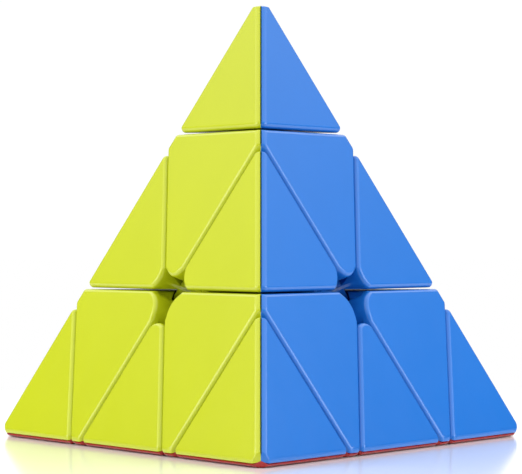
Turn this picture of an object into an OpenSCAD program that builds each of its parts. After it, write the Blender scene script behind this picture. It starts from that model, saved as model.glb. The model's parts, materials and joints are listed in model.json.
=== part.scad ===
// Pyramid twisty puzzle: four corner layers and four tips that turn about the axes of a
// regular tetrahedron. The origin is the centre of the core, where the four axes cross,
// and +Z runs up to the top corner. Each visible piece is made of shells in the colours
// of the faces that it shows, joined on the planes that halve the solid between two faces.

/* [Body] */
// Width along one bottom edge, with its ends rounded no more than the long edges are
overall_w = 98; // [97.5:0.5:98]
// Radius at the four outer corners, which takes a little more off that width
corner_round = 3.2; // [3:0.2:3.4]
// Radius of the base corners of a tip, across the long edge
tip_end_round = 2.4; // [2.2:0.2:2.6]

/* [Hidden] */
// Radius along the six long edges
edge_round = 1.3;
// Clearance between two neighbouring pieces
gap = 0.3;
// Wall thickness of the coloured shells
wall = 2;
// Share of a long edge that a tip takes
tip_share = 0.318;
// Share of a long edge that a corner layer takes, with its tip
layer_share = 0.661;
// Corner radius of the facets around the star-shaped hole in each face
star_round = 4;
// Radius of the two ends of an edge piece, across the long edge
edge_end_round = 3;
// Radius of the upper corners of an axial facet
axial_end_round = 1.2;
// Depth of the star-shaped hole
star_depth = 7;
// Outer radius of the feet that hold the edge pieces in
foot_r = 17;
// Inner radius of the feet and stems
foot_inner_r = 12;
// Distance from the centre to the plane that divides the feet
foot_cut = 3.6;
// Radius of the ball at the middle of the core
core_r = 8;
// Radius of the four posts on the core
post_r = 3.2;
// Height of the posts from the centre
post_h = 18;

$fn = 48;

// The four corners, as directions from the centre. A face is named by the corner opposite it.
TOP = 0;
FRONT = 1;
RIGHT = 2;
LEFT = 3;
corner = [
    [0, 0, 1],
    [0, -sqrt(8) / 3, -1 / 3],
    [sqrt(2 / 3), sqrt(2) / 3, -1 / 3],
    [-sqrt(2 / 3), sqrt(2) / 3, -1 / 3]
];
RED = TOP;
GREEN = FRONT;
YELLOW = RIGHT;
BLUE = LEFT;
paint = ["firebrick", "limegreen", "gold", "dodgerblue"];

// A ball that rounds a corner is a little larger than one that would touch the three rounded
// edges, so it cuts them cleanly
ball_share = 1.15;

// The length of the sharp edges that the rounded ones stand for
side = overall_w + 2 * (sqrt(6) - ball_share) * edge_round;

// Distances from the centre along a corner's direction: to the faces, to the corners, to the
// planes that part the layers and the tips, and to the floor of a tip's hollow
face_d = side * sqrt(6) / 12;
corner_d = 3 * face_d;
layer_cut = corner_d * (1 - 4 * layer_share / 3);
tip_cut = corner_d * (1 - 4 * tip_share / 3);
half_gap = gap / 2;
tip_floor = tip_cut + half_gap + wall;

// A size larger than the whole object, and how far a cut reaches past the surface that it cuts
big = 3 * side;
spare = 1;

// Clearance between hidden pieces
fit = 0.3;

// The hub's tube with its bore, the web that carries the spring, the well above the web, the
// flange, and the groove that the tip's plug snaps into
hub_r = 5.6;
hub_top = tip_cut - fit;
hub_bore_r = post_r + fit;
web_low = post_h + fit;
web_high = web_low + 2;
web_hole_r = 1.8;
well_r = 4.4;
flange_r = 7.2;
flange_low = 22;
flange_high = 23.6;
groove_z = hub_top - 1.8;
groove_r = 0.5;

// Material left round the flange and round the star holes, and how far a stem or a foot runs
// into the shell above it
flange_wall = 1.2;
pillar_wall = 3;
stem_overlap = 1;

// Depth of the roundings on an axial facet, and depth and reach of those that end a piece
axial_end_depth = 3;
end_depth = 8;
end_reach = 3;

// The plug that holds a tip
plug_r = well_r - fit;
plug_low = hub_top - 2.8;
bead_r = 0.35;
disc_r = 5.6;
disc_t = 1.2;
plug_bore_r = 2.6;

// The core's pilot holes and posts, which begin inside its ball
pilot_r = 1.25;
pilot_low = 5.7;
post_low = core_r / 2 + 1;

// The screw with its cross-shaped slot, its washer and its spring
shank_r = 1.4;
shank_low = pilot_low + fit;
shank_root = 0.5;
head_r = 3.4;
head_t = 2.2;
slot_w = 0.8;
slot_l = 4;
slot_depth = 1;
washer_r = 3.7;
washer_t = 0.7;
spring_r = 3.1;
wire_r = 0.25;
spring_turns = 4.5;
spring_h = 6;
spring_bite = 0.02;
spring_low = web_high + 0.1;
washer_low = spring_low + spring_h;
head_low = washer_low + washer_t;
turn_steps = 12;
wire_sides = 6;

// The peg that locates the two shells of an edge piece
peg_r = 1.2;
peg_h = 2;
peg_root = 0.5;
peg_from_centre = (foot_inner_r + foot_r) / 2;

// The point whose distances along the four corner directions are d, which add up to 0
function point_at(d) = 0.75 * (d[0] * corner[0] + d[1] * corner[1] + d[2] * corner[2] + d[3] * corner[3]);
function unit(v) = v / norm(v);
function sum(values) = values * [for (v = values) 1];
// The corners, in order, without the ones in skip
function others(skip) = [for (i = [0:3]) if (sum([0, for (s = skip) s == i ? 1 : 0]) == 0) i];

// The sense in which the first three corners of an order turn, seen from outside
function hand(order) = sign(cross(corner[order[0]], corner[order[1]]) * corner[order[2]]);
function right_handed(order) = hand(order) == hand([0, 1, 2, 3]);

// The order that takes TOP to corner i, and the face opposite LEFT to face k
function third_order(i, k) =
    let (rest = others([i, k]), order = [i, rest[0], rest[1], k])
    right_handed(order) ? order : [i, rest[1], rest[0], k];

// The order that takes the edge between TOP and FRONT to the one between corners i and j
function edge_order(i, j) =
    let (rest = others([i, j]), order = [i, j, rest[0], rest[1]])
    right_handed(order) ? order : [j, i, rest[0], rest[1]];

// Turns a piece about the centre, so that corner m comes to corner order[m]
module placed(order) {
    turn = [
        for (row = [0:2]) [
            for (col = [0:2]) 0.75 * sum([for (m = [0:3]) corner[order[m]][row] * corner[m][col]])
        ]
    ];
    multmatrix([concat(turn[0], 0), concat(turn[1], 0), concat(turn[2], 0), [0, 0, 0, 1]])
        children();
}

// Turns +Z to direction n
module along(n) {
    rotate([0, acos(n[2]), atan2(n[1], n[0])])
        children();
}

// Everything beyond the plane at distance d along direction n
module beyond(n, d) {
    along(n)
        translate([-big / 2, -big / 2, d])
            cube(big);
}

// Everything short of that plane
module short_of(n, d) {
    beyond(-n, -d);
}

// What a radius removes from the corner at p, between directions a and b. The cut runs
// along the normal of a and b, from low to high, and reaches out past both sides.
module rounding(p, a, b, radius, low, high, reach) {
    normal = unit(cross(a, b));
    up = cross(normal, a);
    angle = acos(a * b);
    run = radius / tan(angle / 2);
    multmatrix([
        [a[0], up[0], normal[0], p[0]],
        [a[1], up[1], normal[1], p[1]],
        [a[2], up[2], normal[2], p[2]],
        [0, 0, 0, 1]
    ])
        translate([0, 0, low])
            difference() {
                linear_extrude(high - low)
                    polygon([
                        [run, radius],
                        [run, -reach],
                        [-reach / tan(angle / 2), -reach],
                        [run * cos(angle) - reach * sin(angle), run * sin(angle) + reach * cos(angle)]
                    ]);
                translate([run, radius, -spare])
                    cylinder(r = radius, h = high - low + 2 * spare);
            }
}

// What a corner radius removes from a facet on face k. The corner is at p, and a and b are
// points on the two sides that meet there.
module facet_rounding(k, p, a, b, radius, depth) {
    along_a = unit(a - p);
    along_b = unit(b - p);
    outward = cross(along_a, along_b) * corner[k] < 0;
    rounding(p, outward ? along_a : along_b, outward ? along_b : along_a, radius, -depth, spare, depth / 2);
}

// What the radius along the long edge between corners i and j removes
module long_edge_rounding(i, j) {
    rest = others([i, j]);
    middle = point_at([for (m = [0:3]) m == i || m == j ? face_d : -face_d]);
    a = unit(corner_d * corner[rest[0]] - middle);
    b = unit(corner_d * corner[rest[1]] - middle);
    rounding(middle, a, b, edge_round, -side / 2 - spare, side / 2 + spare, spare);
}

// What a radius removes from the end of a piece on the long edge between corners i and j,
// where the plane at distance d from the centre along corner i's direction ends it. It is
// seen square in the direction from the centre to the long edge.
module end_rounding(i, j, d, radius) {
    end = point_at([for (m = [0:3]) m == i ? d : m == j ? 2 * face_d - d : -face_d]);
    outward = unit(corner[i] + corner[j]);
    onward = unit(corner[i] - corner[j]);
    across = cross(outward, onward);
    slope = [onward + across, onward - across] / sqrt(2);
    rounding(end, slope[1], slope[0], radius, -end_depth, end_depth, end_reach);
}

// The inside of the faces in the list, d within them
module within_faces(faces, d) {
    intersection_for (k = faces)
        beyond(corner[k], d - face_d);
}

// Posts behind the middles of the faces in the list, which stay solid round the star holes
module face_pillars(faces) {
    for (k = faces)
        along(-corner[k])
            cylinder(r = star_round + pillar_wall, h = face_d);
}

// The third of a piece on the top corner that is nearest the face opposite LEFT
module left_third() {
    intersection() {
        beyond(unit(corner[FRONT] - corner[LEFT]), 0);
        beyond(unit(corner[RIGHT] - corner[LEFT]), 0);
    }
}

// ---- tips, modelled at the top corner ----

// What rounds off the corner, where the three rounded long edges meet
module top_corner_rounding() {
    centre_z = corner_d - 3 * edge_round - sqrt(3) * (corner_round - edge_round);
    difference() {
        translate([-big / 2, -big / 2, centre_z + corner_round / 2])
            cube(big);
        translate([0, 0, centre_z])
            rotate([0, 90, 60])
                sphere(ball_share * corner_round);
    }
}

module tip_third() {
    difference() {
        intersection() {
            beyond(corner[TOP], tip_cut + half_gap);
            within_faces([FRONT, RIGHT, LEFT], 0);
            left_third();
        }
        long_edge_rounding(TOP, FRONT);
        long_edge_rounding(TOP, RIGHT);
        top_corner_rounding();
        end_rounding(TOP, FRONT, tip_cut + half_gap, tip_end_round);
        end_rounding(TOP, RIGHT, tip_cut + half_gap, tip_end_round);
        intersection() {
            beyond(corner[TOP], tip_floor);
            within_faces([FRONT, RIGHT, LEFT], wall);
        }
        cylinder(r = plug_r, h = tip_floor + spare);
    }
}

module tip_shell(i, k) {
    color(paint[k])
        placed(third_order(i, k))
            tip_third();
}

module tip_plug(i) {
    color("dimgray")
        along(corner[i])
            difference() {
                union() {
                    translate([0, 0, plug_low])
                        cylinder(r = plug_r, h = tip_floor - plug_low);
                    translate([0, 0, tip_floor])
                        cylinder(r = disc_r, h = disc_t);
                    translate([0, 0, groove_z])
                        rotate_extrude()
                            translate([plug_r - bead_r / 2, 0])
                                circle(r = bead_r);
                }
                translate([0, 0, plug_low - spare])
                    cylinder(r = plug_bore_r, h = tip_floor - plug_low + spare);
            }
}

// ---- axials, modelled at the top corner ----

// The part outside the feet's radius
module axial_outside() {
    difference() {
        intersection() {
            within_faces([FRONT, RIGHT, LEFT], 0);
            short_of(corner[TOP], tip_cut - half_gap);
            beyond(corner[TOP], layer_cut + half_gap);
            intersection_for (j = [FRONT, RIGHT, LEFT])
                short_of(corner[j], layer_cut - half_gap);
        }
        sphere(foot_r + half_gap);
        long_edge_rounding(TOP, FRONT);
        long_edge_rounding(TOP, RIGHT);
    }
}

// The part between the feet
module axial_stem() {
    difference() {
        intersection() {
            sphere(foot_r + stem_overlap);
            beyond(corner[TOP], foot_cut + half_gap);
            intersection_for (j = [FRONT, RIGHT, LEFT])
                short_of(corner[j], foot_cut - half_gap);
        }
        sphere(foot_inner_r);
    }
}

module axial_hollow() {
    difference() {
        intersection() {
            within_faces([FRONT, RIGHT, LEFT], wall);
            short_of(corner[TOP], tip_cut - half_gap - wall);
            intersection_for (j = [FRONT, RIGHT, LEFT])
                short_of(corner[j], layer_cut - half_gap - wall);
        }
        sphere(foot_r + wall + stem_overlap);
        cylinder(r = flange_r + flange_wall, h = tip_cut);
        face_pillars([FRONT, RIGHT, LEFT]);
    }
}

// The rounding on the facet opposite LEFT, with its sides towards FRONT and RIGHT
module axial_facet_rounding() {
    high = tip_cut - half_gap;
    low = layer_cut - half_gap;
    star = point_at([face_d - 2 * low, low, low, -face_d]);
    tip_front = point_at([high, 2 * face_d - high, -face_d, -face_d]);
    tip_right = point_at([high, -face_d, 2 * face_d - high, -face_d]);
    layer_front = point_at([2 * face_d - low, low, -face_d, -face_d]);
    layer_right = point_at([2 * face_d - low, -face_d, low, -face_d]);
    facet_rounding(LEFT, star, layer_front, layer_right, star_round, star_depth);
    facet_rounding(LEFT, tip_front, tip_right, layer_front, axial_end_round, axial_end_depth);
    facet_rounding(LEFT, tip_right, tip_front, layer_right, axial_end_round, axial_end_depth);
    facet_rounding(LEFT, layer_front, tip_front, star, axial_end_round, axial_end_depth);
    facet_rounding(LEFT, layer_right, tip_right, star, axial_end_round, axial_end_depth);
}

module axial_third() {
    difference() {
        intersection() {
            union() {
                axial_outside();
                axial_stem();
            }
            left_third();
        }
        axial_facet_rounding();
        axial_hollow();
        hub_outside(tip_cut);
    }
}

module axial_shell(i, k) {
    color(paint[k])
        placed(third_order(i, k))
            axial_third();
}

// The hub's outside, along +Z, with its tube up to the given height
module hub_outside(top) {
    cylinder(r = hub_r, h = top);
    translate([0, 0, flange_low])
        cylinder(r = flange_r, h = flange_high - flange_low);
}

module axial_hub(i) {
    color("dimgray")
        along(corner[i])
            difference() {
                hub_outside(hub_top);
                cylinder(r = hub_bore_r, h = web_low);
                cylinder(r = web_hole_r, h = hub_top);
                translate([0, 0, web_high])
                    cylinder(r = well_r, h = hub_top);
                translate([0, 0, groove_z])
                    rotate_extrude()
                        translate([well_r, 0])
                            circle(r = groove_r);
                sphere(foot_inner_r);
            }
}

// ---- edges, modelled between the top and front corners ----

module edge_outside() {
    difference() {
        intersection() {
            beyond(corner[TOP], layer_cut + half_gap);
            beyond(corner[FRONT], layer_cut + half_gap);
            within_faces([RIGHT, LEFT], 0);
        }
        sphere(foot_r + half_gap);
        long_edge_rounding(TOP, FRONT);
    }
}

// Everything between the feet's inner radius and r, within d of the two layer planes
module foot_block(r, d) {
    difference() {
        intersection() {
            sphere(r);
            beyond(corner[TOP], d + half_gap);
            beyond(corner[FRONT], d + half_gap);
            short_of(corner[RIGHT], foot_cut - half_gap);
            short_of(corner[LEFT], foot_cut - half_gap);
        }
        sphere(foot_inner_r);
    }
}

module edge_hollow() {
    difference() {
        intersection() {
            beyond(corner[TOP], layer_cut + half_gap + wall);
            beyond(corner[FRONT], layer_cut + half_gap + wall);
            within_faces([RIGHT, LEFT], wall);
        }
        sphere(foot_r + wall);
        face_pillars([RIGHT, LEFT]);
    }
}

// The rounding at the star hole on the facet opposite corner k
module edge_star_rounding(k) {
    low = layer_cut + half_gap;
    high = face_d - 2 * low;
    star = point_at([low, low, k == RIGHT ? -face_d : high, k == LEFT ? -face_d : high]);
    at_front = point_at([low, 2 * face_d - low, -face_d, -face_d]);
    at_top = point_at([2 * face_d - low, low, -face_d, -face_d]);
    facet_rounding(k, star, at_front, at_top, star_round, star_depth);
}

// The half of an edge piece nearest the face opposite RIGHT or the one opposite LEFT
module edge_half(k) {
    away = k == RIGHT ? LEFT : RIGHT;
    difference() {
        intersection() {
            union() {
                edge_outside();
                foot_block(foot_r - half_gap, foot_cut);
                foot_block(foot_r + stem_overlap, layer_cut);
            }
            beyond(unit(corner[away] - corner[k]), 0);
        }
        edge_star_rounding(k);
        end_rounding(TOP, FRONT, layer_cut + half_gap, edge_end_round);
        end_rounding(FRONT, TOP, layer_cut + half_gap, edge_end_round);
        edge_hollow();
    }
}

// The peg that locates the halves on each other, and the hole that it fits
module edge_peg() {
    translate(peg_from_centre * unit(corner[TOP] + corner[FRONT]))
        along(unit(corner[RIGHT] - corner[LEFT]))
            translate([0, 0, -peg_root])
                cylinder(r = peg_r, h = peg_h + peg_root);
}

module edge_shell(i, j, k) {
    color(paint[k])
        placed(edge_order(i, j))
            if (k == others([i, j])[0]) {
                union() {
                    edge_half(RIGHT);
                    edge_peg();
                }
            } else {
                difference() {
                    edge_half(LEFT);
                    edge_peg();
                }
            }
}

// ---- core and its hardware ----

module core() {
    color("darkslategray")
        difference() {
            union() {
                sphere(core_r);
                for (i = [0:3])
                    along(corner[i])
                        translate([0, 0, post_low])
                            cylinder(r = post_r, h = post_h - post_low);
            }
            for (i = [0:3])
                along(corner[i])
                    translate([0, 0, pilot_low])
                        cylinder(r = pilot_r, h = post_h);
        }
}

module screws() {
    color("silver")
        for (i = [0:3])
            along(corner[i])
                difference() {
                    union() {
                        translate([0, 0, shank_low])
                            cylinder(r = shank_r, h = head_low - shank_low + shank_root);
                        translate([0, 0, head_low])
                            cylinder(r = head_r, h = head_t);
                    }
                    translate([-slot_w / 2, -slot_l / 2, head_low + head_t - slot_depth])
                        cube([slot_w, slot_l, slot_depth + spare]);
                    translate([-slot_l / 2, -slot_w / 2, head_low + head_t - slot_depth])
                        cube([slot_l, slot_w, slot_depth + spare]);
                }
}

module washers() {
    color("silver")
        for (i = [0:3])
            along(corner[i])
                translate([0, 0, washer_low])
                    difference() {
                        cylinder(r = washer_r, h = washer_t);
                        translate([0, 0, -spare])
                            cylinder(r = web_hole_r, h = washer_t + 2 * spare);
                    }
}

// A closed tube along the spring's helix
module spring() {
    rings = ceil(spring_turns * turn_steps);
    rise = spring_h - 2 * wire_r + spring_bite;
    points = [
        for (s = [0:rings])
            for (q = [0:wire_sides - 1])
                let (
                    turn = 360 * s / turn_steps,
                    round = 360 * q / wire_sides,
                    reach = spring_r + wire_r * cos(round),
                    height = wire_r + rise * s / rings + wire_r * sin(round)
                )
                [reach * cos(turn), reach * sin(turn), height]
    ];
    sides = [
        for (s = [0:rings - 1])
            for (q = [0:wire_sides - 1])
                let (
                    near = s * wire_sides + q,
                    next = s * wire_sides + (q + 1) % wire_sides
                )
                [near, near + wire_sides, next + wire_sides, next]
    ];
    low_end = [for (q = [0:wire_sides - 1]) q];
    high_end = [for (q = [wire_sides - 1:-1:0]) rings * wire_sides + q];
    polyhedron(points, concat([low_end], sides, [high_end]));
}

module springs() {
    color("silver")
        for (i = [0:3])
            along(corner[i])
                translate([0, 0, spring_low])
                    spring();
}

tip_shell(TOP, GREEN);  // tip_top_green
tip_shell(TOP, YELLOW);  // tip_top_yellow
tip_shell(TOP, BLUE);  // tip_top_blue
tip_shell(FRONT, RED);  // tip_front_red
tip_shell(FRONT, YELLOW);  // tip_front_yellow
tip_shell(FRONT, BLUE);  // tip_front_blue
tip_shell(RIGHT, RED);  // tip_right_red
tip_shell(RIGHT, GREEN);  // tip_right_green
tip_shell(RIGHT, BLUE);  // tip_right_blue
tip_shell(LEFT, RED);  // tip_left_red
tip_shell(LEFT, GREEN);  // tip_left_green
tip_shell(LEFT, YELLOW);  // tip_left_yellow
tip_plug(TOP);  // tip_top_plug
tip_plug(FRONT);  // tip_front_plug
tip_plug(RIGHT);  // tip_right_plug
tip_plug(LEFT);  // tip_left_plug
axial_shell(TOP, GREEN);  // axial_top_green
axial_shell(TOP, YELLOW);  // axial_top_yellow
axial_shell(TOP, BLUE);  // axial_top_blue
axial_shell(FRONT, RED);  // axial_front_red
axial_shell(FRONT, YELLOW);  // axial_front_yellow
axial_shell(FRONT, BLUE);  // axial_front_blue
axial_shell(RIGHT, RED);  // axial_right_red
axial_shell(RIGHT, GREEN);  // axial_right_green
axial_shell(RIGHT, BLUE);  // axial_right_blue
axial_shell(LEFT, RED);  // axial_left_red
axial_shell(LEFT, GREEN);  // axial_left_green
axial_shell(LEFT, YELLOW);  // axial_left_yellow
axial_hub(TOP);  // axial_top_hub
axial_hub(FRONT);  // axial_front_hub
axial_hub(RIGHT);  // axial_right_hub
axial_hub(LEFT);  // axial_left_hub
edge_shell(TOP, FRONT, YELLOW);  // edge_top_front_yellow
edge_shell(TOP, FRONT, BLUE);  // edge_top_front_blue
edge_shell(TOP, RIGHT, GREEN);  // edge_top_right_green
edge_shell(TOP, RIGHT, BLUE);  // edge_top_right_blue
edge_shell(TOP, LEFT, GREEN);  // edge_top_left_green
edge_shell(TOP, LEFT, YELLOW);  // edge_top_left_yellow
edge_shell(FRONT, RIGHT, RED);  // edge_front_right_red
edge_shell(FRONT, RIGHT, BLUE);  // edge_front_right_blue
edge_shell(FRONT, LEFT, RED);  // edge_front_left_red
edge_shell(FRONT, LEFT, YELLOW);  // edge_front_left_yellow
edge_shell(RIGHT, LEFT, RED);  // edge_right_left_red
edge_shell(RIGHT, LEFT, GREEN);  // edge_right_left_green
core();
screws();
springs();
washers();
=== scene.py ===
import functools
import itertools
import json
import math

import bmesh
import bpy
import numpy as np
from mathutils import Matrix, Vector


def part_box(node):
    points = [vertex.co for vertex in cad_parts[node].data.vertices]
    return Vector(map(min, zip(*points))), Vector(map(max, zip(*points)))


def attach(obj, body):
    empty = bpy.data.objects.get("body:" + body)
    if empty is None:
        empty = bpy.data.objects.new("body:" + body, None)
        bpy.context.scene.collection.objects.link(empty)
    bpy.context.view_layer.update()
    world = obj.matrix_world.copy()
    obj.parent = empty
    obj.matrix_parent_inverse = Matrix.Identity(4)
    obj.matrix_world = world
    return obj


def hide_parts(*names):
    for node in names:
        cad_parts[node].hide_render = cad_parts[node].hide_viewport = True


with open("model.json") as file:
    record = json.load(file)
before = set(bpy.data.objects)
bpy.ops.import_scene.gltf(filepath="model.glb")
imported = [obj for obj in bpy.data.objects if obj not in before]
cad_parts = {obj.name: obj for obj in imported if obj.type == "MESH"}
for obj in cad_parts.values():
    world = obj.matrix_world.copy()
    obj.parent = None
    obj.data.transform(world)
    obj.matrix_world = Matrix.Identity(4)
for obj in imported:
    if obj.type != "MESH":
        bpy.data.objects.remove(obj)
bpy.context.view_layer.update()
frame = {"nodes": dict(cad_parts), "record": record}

BODIES = frame["record"]["behaviour"]["bodies"]

# Lengths are in metres
MM = 0.001
MICRO = 1e-6
NANO = 1e-9

# The four corners of the pyramid, as directions from the core, and each face's colour.
# A face is named by the corner opposite it.
CORNERS = np.array(
    [
        (0, 0, 1),
        (0, -math.sqrt(8) / 3, -1 / 3),
        (math.sqrt(2 / 3), math.sqrt(2) / 3, -1 / 3),
        (-math.sqrt(2 / 3), math.sqrt(2) / 3, -1 / 3),
    ]
)
CORNER_NAMES = ["top", "front", "right", "left"]
OUTER_SHARE = 0.75  # makes the corners' outer products add up to the identity
FACE_OF_COLOUR = {"red": 0, "green": 1, "yellow": 2, "blue": 3}
BLUE = FACE_OF_COLOUR["blue"]
FACE_D = -min(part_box(name)[0].z for name in frame["nodes"])  # from the core to each face
STEEL_NODES = ("screws", "springs", "washers")

# The moulded rims are rounded, in steps of this angle
RIM = 0.85 * MM
RIM_STEP = math.radians(14)

# A steep V groove lies along the seam between two colours: how far each side of it is cut
# back at the surface, and how far its wall leans
SEAM = 0.16 * MM
SEAM_SLOPE = 0.3

# The layer below a face that holds the rims, above the shell's hollow
SLAB = 1.5 * MM
OUTSIDE_DEPTH = 1.3 * MM  # how far below a face its rounded long edges and corners lie

# What counts as the same plane or point in the CAD's meshes
THINNEST = 0.01 * MM  # a thinner triangle has no sure normal
PARALLEL = 0.99999
SEAM_PARALLEL = 0.9999
SAME_PLANE = 5 * MICRO
FLAT = math.radians(0.6)
CAD_WELD = 2 * MICRO
TOP_WELD = 8 * MICRO  # joins the new top layer to the mesh below it

SMOOTH = math.radians(32)  # a sharper edge than this is shaded as a crease
BLANK = 0.2  # half the width of the square that each face is cut from
NEARLY_X = 0.8  # the x of a unit vector from which it is too close to the x axis

# Plastic and metal: the scale of each noise, and its octaves
CLOUD = (60, 2)
SMEAR = (260, 4)
SKIN = (1500, 2)
TURNING_MARKS = (900, 3)
SKIN_STRENGTH = 0.04
SKIN_DEPTH = 0.02 * MM
UNEVEN_GLOSS = 0.12  # how far the roughness of plastic strays from its mean
UNEVEN_STEEL = 0.3
STEEL_SHADE = 0.85
MIX_SOCKETS = {"FLOAT": (2, 3, 0), "RGBA": (6, 7, 2)}  # of a Mix node's A, B and Result

# The floor is white and glossy round the puzzle, and glows white further out
FLOOR_SIZE = 12
FLOOR_DROP = 0.05 * MM
FLOOR_WHITE = 0.88
FLOOR_ROUGH = 0.12
GLOW_START = 0.07
GLOW_FULL = 0.22

# The sky's strength rises from 0 with the height of a direction, and falls with how far to
# the side it points. The stronger of the two holds.
SKY_BY_HEIGHT = (0.24, 0.50, 0.0, 1.7)
SKY_BY_SIDE = (0.14, 0.34, 1.02, 0.0)

# Two soft panels, one each side of the puzzle
PANEL_AT = (0.5, -0.06, 0.09)
PANEL_AIM = (0, 0, 0.02)
PANEL_WIDTH = 0.42
PANEL_HEIGHT = 0.3
PANEL_WATTS = 1.75

# The camera is level, just above the seam of the bottom layer, before the front corner
CAMERA_AT = (0, -0.5554, 0.0163)
CAMERA_TILT = math.radians(90.06)
CAMERA_SENSOR = 36
CAMERA_LENS = 212.4
CAMERA_SHIFT = 0.0003
CAMERA_CLIP = (0.01, 50)


# ---- materials ----


def new_material(name):
    """A material with nodes, and its nodes, links and Principled shader."""
    material = bpy.data.materials.new(name)
    material.use_nodes = True
    nodes = material.node_tree.nodes
    return material, nodes, material.node_tree.links, nodes["Principled BSDF"]


def noise(nodes, links, scale_and_detail, coordinates):
    """The 0 to 1 value of a noise texture."""
    texture = nodes.new("ShaderNodeTexNoise")
    for socket, value in zip(("Scale", "Detail"), scale_and_detail):
        texture.inputs[socket].default_value = value
    links.new(coordinates, texture.inputs["Vector"])
    return texture.outputs["Fac"]


def ramp(nodes, links, source, low, high):
    """Maps a 0 to 1 value to low..high, which are numbers or colours."""
    mix = nodes.new("ShaderNodeMix")
    mix.data_type = "RGBA" if isinstance(low, tuple) else "FLOAT"
    a, b, result = MIX_SOCKETS[mix.data_type]
    mix.inputs[a].default_value = low
    mix.inputs[b].default_value = high
    links.new(source, mix.inputs["Factor"])
    return mix.outputs[result]


def map_range(nodes, links, source, start, end, low=0.0, high=1.0):
    """Maps start..end of a value to low..high, and holds it beyond them."""
    share = nodes.new("ShaderNodeMapRange")
    sockets = ("From Min", "From Max", "To Min", "To Max")
    for socket, value in zip(sockets, (start, end, low, high)):
        share.inputs[socket].default_value = value
    links.new(source, share.inputs["Value"])
    return share.outputs["Result"]


def moulded_plastic(name, colour, rough, shade):
    """Glossy moulded plastic: cloudy colour, uneven gloss and a fine orange-peel skin."""
    material, nodes, links, shader = new_material(name)
    place = nodes.new("ShaderNodeTexCoord").outputs["Object"]
    cloud = noise(nodes, links, CLOUD, place)
    smear = noise(nodes, links, SMEAR, place)
    skin = noise(nodes, links, SKIN, place)
    dark = tuple(c * shade for c in colour) + (1,)
    light = tuple(min(1, c / shade) for c in colour) + (1,)
    smooth, dull = rough * (1 - UNEVEN_GLOSS), rough * (1 + UNEVEN_GLOSS)
    links.new(ramp(nodes, links, cloud, dark, light), shader.inputs["Base Color"])
    links.new(ramp(nodes, links, smear, smooth, dull), shader.inputs["Roughness"])
    bump = nodes.new("ShaderNodeBump")
    bump.inputs["Strength"].default_value = SKIN_STRENGTH
    bump.inputs["Distance"].default_value = SKIN_DEPTH
    links.new(skin, bump.inputs["Height"])
    links.new(bump.outputs["Normal"], shader.inputs["Normal"])
    return material


def metal(name, colour, rough):
    """Plated steel with fine turning marks."""
    material, nodes, links, shader = new_material(name)
    place = nodes.new("ShaderNodeTexCoord").outputs["Object"]
    marks = noise(nodes, links, TURNING_MARKS, place)
    smooth, dull = rough * (1 - UNEVEN_STEEL), rough * (1 + UNEVEN_STEEL)
    dark = tuple(c * STEEL_SHADE for c in colour) + (1,)
    links.new(ramp(nodes, links, marks, smooth, dull), shader.inputs["Roughness"])
    links.new(ramp(nodes, links, marks, dark, colour + (1,)), shader.inputs["Base Color"])
    shader.inputs["Metallic"].default_value = 1
    return material


COLOURS = {
    "yellow": (0.45, 0.505, 0.007),
    "blue": (0.008, 0.138, 0.51),
    "green": (0.009, 0.27, 0.055),
    "red": (0.36, 0.010, 0.008),
}
PLASTIC = {
    colour: moulded_plastic(colour + "_plastic", rgb, rough=0.25, shade=0.97)
    for colour, rgb in COLOURS.items()
}
INNER = moulded_plastic("inner_plastic", (0.055, 0.056, 0.062), rough=0.45, shade=0.9)
STEEL = metal("zinc_steel", (0.62, 0.63, 0.65), rough=0.3)


# ---- the coloured shells ----

# The top layer of each shell is convex. It is made again as the solid inside a set of planes:
# those of the CAD shell, and those that touch the rounded rims. Below it the CAD mesh stays.


def colour_of(name):
    """The last word of a node's name, which is a colour if the node is a coloured shell."""
    return name.rsplit("_", 1)[-1]


def shells_of(body):
    return [name for name in BODIES[body] if colour_of(name) in PLASTIC]


def unit(vector):
    return vector / np.linalg.norm(vector)


def clipped(polygon, normal, limit):
    """The part of a polygon that lies within a plane."""
    heights = polygon @ normal - limit
    kept = []
    ends = np.roll(polygon, -1, 0), np.roll(heights, -1)
    for a, high, b, next_high in zip(polygon, heights, *ends):
        if high <= 0:
            kept.append(a)
        if high * next_high < 0:
            kept.append(a + (b - a) * high / (high - next_high))
    return np.array(kept)


def solid_inside(normals, limits):
    """The faces of the convex solid inside all the planes, each with its plane's number."""
    faces = []
    for number, (normal, limit) in enumerate(zip(normals, limits)):
        helper = (1, 0, 0) if abs(normal[0]) < NEARLY_X else (0, 1, 0)
        side = unit(np.cross(normal, helper))
        up = np.cross(normal, side)
        corners = np.array([side + up, up - side, -side - up, side - up])
        polygon = normal * limit + BLANK * corners
        while len(polygon) > 2:
            over = polygon @ normals.T - limits
            over[:, number] = -1
            worst = over.argmax()
            if over.flat[worst] < NANO:
                break
            plane = worst % len(normals)
            polygon = clipped(polygon, normals[plane], limits[plane])
        if len(polygon) > 2:
            faces.append((number, polygon))
    return faces


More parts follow.
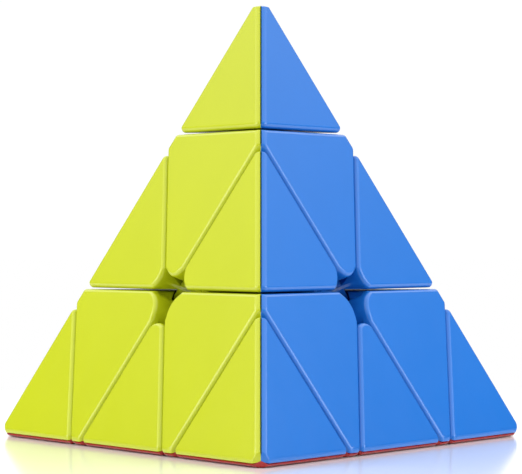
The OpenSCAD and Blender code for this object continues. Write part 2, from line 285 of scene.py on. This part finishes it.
def top_planes(body):
    """The planes round the top layers of a piece's shells.

    Returns their normals and limits, which of them are walls inside the puzzle, and the
    points that they go round. The planes where two colours meet are left out.
    """
    normals, reach, deep, points = [], [], [], []
    for name in shells_of(body):
        mesh = frame["nodes"][name].data
        face = FACE_OF_COLOUR[colour_of(name)]
        co = np.array([v.co for v in mesh.vertices], float)
        depth = FACE_D + co @ CORNERS[face]
        points.append(co[depth < SLAB])
        seams = [unit(CORNERS[face] - c) for k, c in enumerate(CORNERS) if k != face]
        for polygon in sorted(mesh.polygons, key=lambda q: -q.area):
            at = list(polygon.vertices)
            sides = [np.linalg.norm(co[i] - co[j]) for i, j in zip(at, at[1:] + at[:1])]
            if depth[at].min() > SLAB / 2 or polygon.area / max(sides) < THINNEST:
                continue
            normal = unit(np.cross(co[at[1]] - co[at[0]], co[at[2]] - co[at[1]]))
            limit = co[at[0]] @ normal
            if any(normal @ s > SEAM_PARALLEL and abs(co[at[0]] @ s) < MICRO for s in seams):
                continue
            for number, known in enumerate(normals):
                if normal @ known > PARALLEL and abs(limit - reach[number]) < SAME_PLANE:
                    deep[number] = max(deep[number], depth[at].max())
                    break
            else:
                normals.append(normal)
                reach.append(limit)
                deep.append(depth[at].max())
    if body.startswith("tip"):
        normals.append(CORNERS[CORNER_NAMES.index(body.split("_")[1])])
        deep.append(0)
    points = np.concatenate(points)
    normals = np.array(normals)
    return normals, (points @ normals.T).max(0), np.array(deep) > OUTSIDE_DEPTH, points


def rim_normals(normals, limits, walls, eroded):
    """The directions between each outside plane and each wall that it meets."""
    rims = []
    for number, polygon in eroded:
        if walls[number]:
            continue
        for middle in (polygon + np.roll(polygon, -1, 0)) / 2:
            near = np.abs(normals @ middle - limits) < MICRO
            for wall in np.flatnonzero(near & walls):
                turn = math.acos(np.clip(normals[number] @ normals[wall], -1, 1))
                count = round(turn / RIM_STEP)
                for step in range(1, count):
                    share = step / count
                    blend = normals[number] * math.sin((1 - share) * turn)
                    rims.append(unit(blend + normals[wall] * math.sin(share * turn)))
    rims = np.unique(np.round(rims, 7), axis=0)
    return rims / np.linalg.norm(rims, axis=1)[:, None]


@functools.cache
def rounded_top(body, face):
    """The faces of the top layer of a piece's shell on one face, with rounded rims."""
    normals, limits, walls, points = top_planes(body)
    eroded = solid_inside(normals, limits - RIM)
    core = np.concatenate([polygon for _, polygon in eroded])
    rims = rim_normals(normals, limits - RIM, walls, eroded)
    seams, seam_limits = [CORNERS[face]], [SLAB - FACE_D]
    for other in {FACE_OF_COLOUR[colour_of(name)] for name in shells_of(body)} - {face}:
        across = unit(CORNERS[face] - CORNERS[other])
        outward = unit(-CORNERS[face] - CORNERS[other])
        steep = unit(across + SEAM_SLOPE * outward)
        rim = outward * (points @ outward).max() - across * SEAM
        seams += [across, steep]
        seam_limits += [0, steep @ rim]
    faces = solid_inside(
        np.concatenate([normals, rims, seams]),
        np.concatenate([limits, (core @ rims.T).max(0) + RIM, seam_limits]),
    )
    cut = len(normals) + len(rims)
    return [polygon for number, polygon in faces if number != cut]


def turned_top(body, face):
    """The same for any piece, turned from the piece of its kind that is modelled first."""
    kind, *where = body.split("_")
    corners = {CORNER_NAMES.index(name) for name in where}
    for order in itertools.permutations(range(len(CORNERS))):
        turn = OUTER_SHARE * CORNERS[list(order)].T @ CORNERS
        fits = set(order[: len(where)]) == corners and order[BLUE] == face
        if fits and np.linalg.det(turn) > 0:
            first = "_".join([kind] + CORNER_NAMES[: len(where)])
            return [polygon @ turn.T for polygon in rounded_top(first, BLUE)]


def coloured_shell(name, body, colour):
    """One colour of a moulded piece, with its top layer made again."""
    face = FACE_OF_COLOUR[colour]
    bm = bmesh.new()
    bm.from_mesh(frame["nodes"][name].data)
    bmesh.ops.remove_doubles(bm, verts=bm.verts, dist=CAD_WELD)
    bmesh.ops.dissolve_limit(
        bm, angle_limit=FLAT, verts=bm.verts, edges=bm.edges, delimit={"NORMAL"}
    )
    bmesh.ops.bisect_plane(
        bm,
        geom=bm.verts[:] + bm.edges[:] + bm.faces[:],
        dist=MICRO / 10,
        plane_co=Vector(CORNERS[face] * (SLAB - FACE_D)),
        plane_no=Vector(-CORNERS[face]),
        clear_outer=True,
    )
    for polygon in turned_top(body, face):
        bm.faces.new([bm.verts.new(point) for point in polygon])
    bmesh.ops.remove_doubles(bm, verts=bm.verts, dist=TOP_WELD)
    mesh = bpy.data.meshes.new(name + "_shell")
    bm.to_mesh(mesh)
    bm.free()
    mesh.shade_smooth()
    mesh.set_sharp_from_angle(angle=SMOOTH)
    mesh.materials.append(PLASTIC[colour])
    piece = bpy.data.objects.new(name + "_shell", mesh)
    bpy.context.collection.objects.link(piece)
    normals = piece.modifiers.new("normals", "WEIGHTED_NORMAL")
    normals.keep_sharp = True
    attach(piece, body)
    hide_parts(name)


for body, names in BODIES.items():
    for name in names:
        if name in shells_of(body):
            coloured_shell(name, body, colour_of(name))
        else:
            for slot in frame["nodes"][name].material_slots:
                slot.material = STEEL if name in STEEL_NODES else INNER


# ---- the floor, the light and the camera ----


def floor():
    bpy.ops.mesh.primitive_plane_add(size=FLOOR_SIZE, location=(0, 0, -FACE_D - FLOOR_DROP))
    plane = bpy.context.object
    plane.name = "floor"
    material, nodes, links, shader = new_material("white_floor")
    shader.inputs["Base Color"].default_value = (FLOOR_WHITE, FLOOR_WHITE, FLOOR_WHITE, 1)
    shader.inputs["Roughness"].default_value = FLOOR_ROUGH
    distance = nodes.new("ShaderNodeVectorMath")
    distance.operation = "LENGTH"
    links.new(nodes.new("ShaderNodeTexCoord").outputs["Object"], distance.inputs[0])
    far = map_range(nodes, links, distance.outputs["Value"], GLOW_START, GLOW_FULL)
    glow = nodes.new("ShaderNodeEmission")
    mix = nodes.new("ShaderNodeMixShader")
    links.new(far, mix.inputs["Fac"])
    links.new(shader.outputs["BSDF"], mix.inputs[1])
    links.new(glow.outputs["Emission"], mix.inputs[2])
    links.new(mix.outputs["Shader"], nodes["Material Output"].inputs["Surface"])
    plane.data.materials.append(material)


def sky():
    """White ahead and overhead, and dark low down at the sides, where the faces reflect it."""
    world = bpy.data.worlds.new("studio")
    bpy.context.scene.world = world
    world.use_nodes = True
    nodes = world.node_tree.nodes
    links = world.node_tree.links
    split = nodes.new("ShaderNodeSeparateXYZ")
    links.new(nodes.new("ShaderNodeTexCoord").outputs["Generated"], split.inputs[0])
    side = nodes.new("ShaderNodeMath")
    side.operation = "ABSOLUTE"
    links.new(split.outputs["X"], side.inputs[0])
    brighter = nodes.new("ShaderNodeMath")
    brighter.operation = "MAXIMUM"
    by_height = map_range(nodes, links, split.outputs["Z"], *SKY_BY_HEIGHT)
    by_side = map_range(nodes, links, side.outputs[0], *SKY_BY_SIDE)
    links.new(by_height, brighter.inputs[0])
    links.new(by_side, brighter.inputs[1])
    links.new(brighter.outputs[0], nodes["Background"].inputs["Strength"])
    nodes["Background"].inputs["Color"].default_value = (1, 1, 1, 1)


def panel(name, place):
    """A soft rectangular light that points at the puzzle."""
    light = bpy.data.lights.new(name, "AREA")
    light.shape = "RECTANGLE"
    light.size = PANEL_WIDTH
    light.size_y = PANEL_HEIGHT
    light.energy = PANEL_WATTS
    lamp = bpy.data.objects.new(name, light)
    lamp.location = place
    towards = Vector(PANEL_AIM) - Vector(place)
    lamp.rotation_euler = towards.to_track_quat("-Z", "Y").to_euler()
    bpy.context.collection.objects.link(lamp)


def camera():
    data = bpy.data.cameras.new("camera")
    data.sensor_width = CAMERA_SENSOR
    data.lens = CAMERA_LENS
    data.shift_x = CAMERA_SHIFT
    data.clip_start, data.clip_end = CAMERA_CLIP
    view = bpy.data.objects.new("camera", data)
    view.location = CAMERA_AT
    view.rotation_euler = (CAMERA_TILT, 0, 0)
    bpy.context.collection.objects.link(view)
    bpy.context.scene.camera = view


floor()
sky()
for name, sign in (("left_panel", -1), ("right_panel", 1)):
    panel(name, (sign * PANEL_AT[0], PANEL_AT[1], PANEL_AT[2]))
camera()
bpy.context.scene.view_settings.view_transform = "Standard"
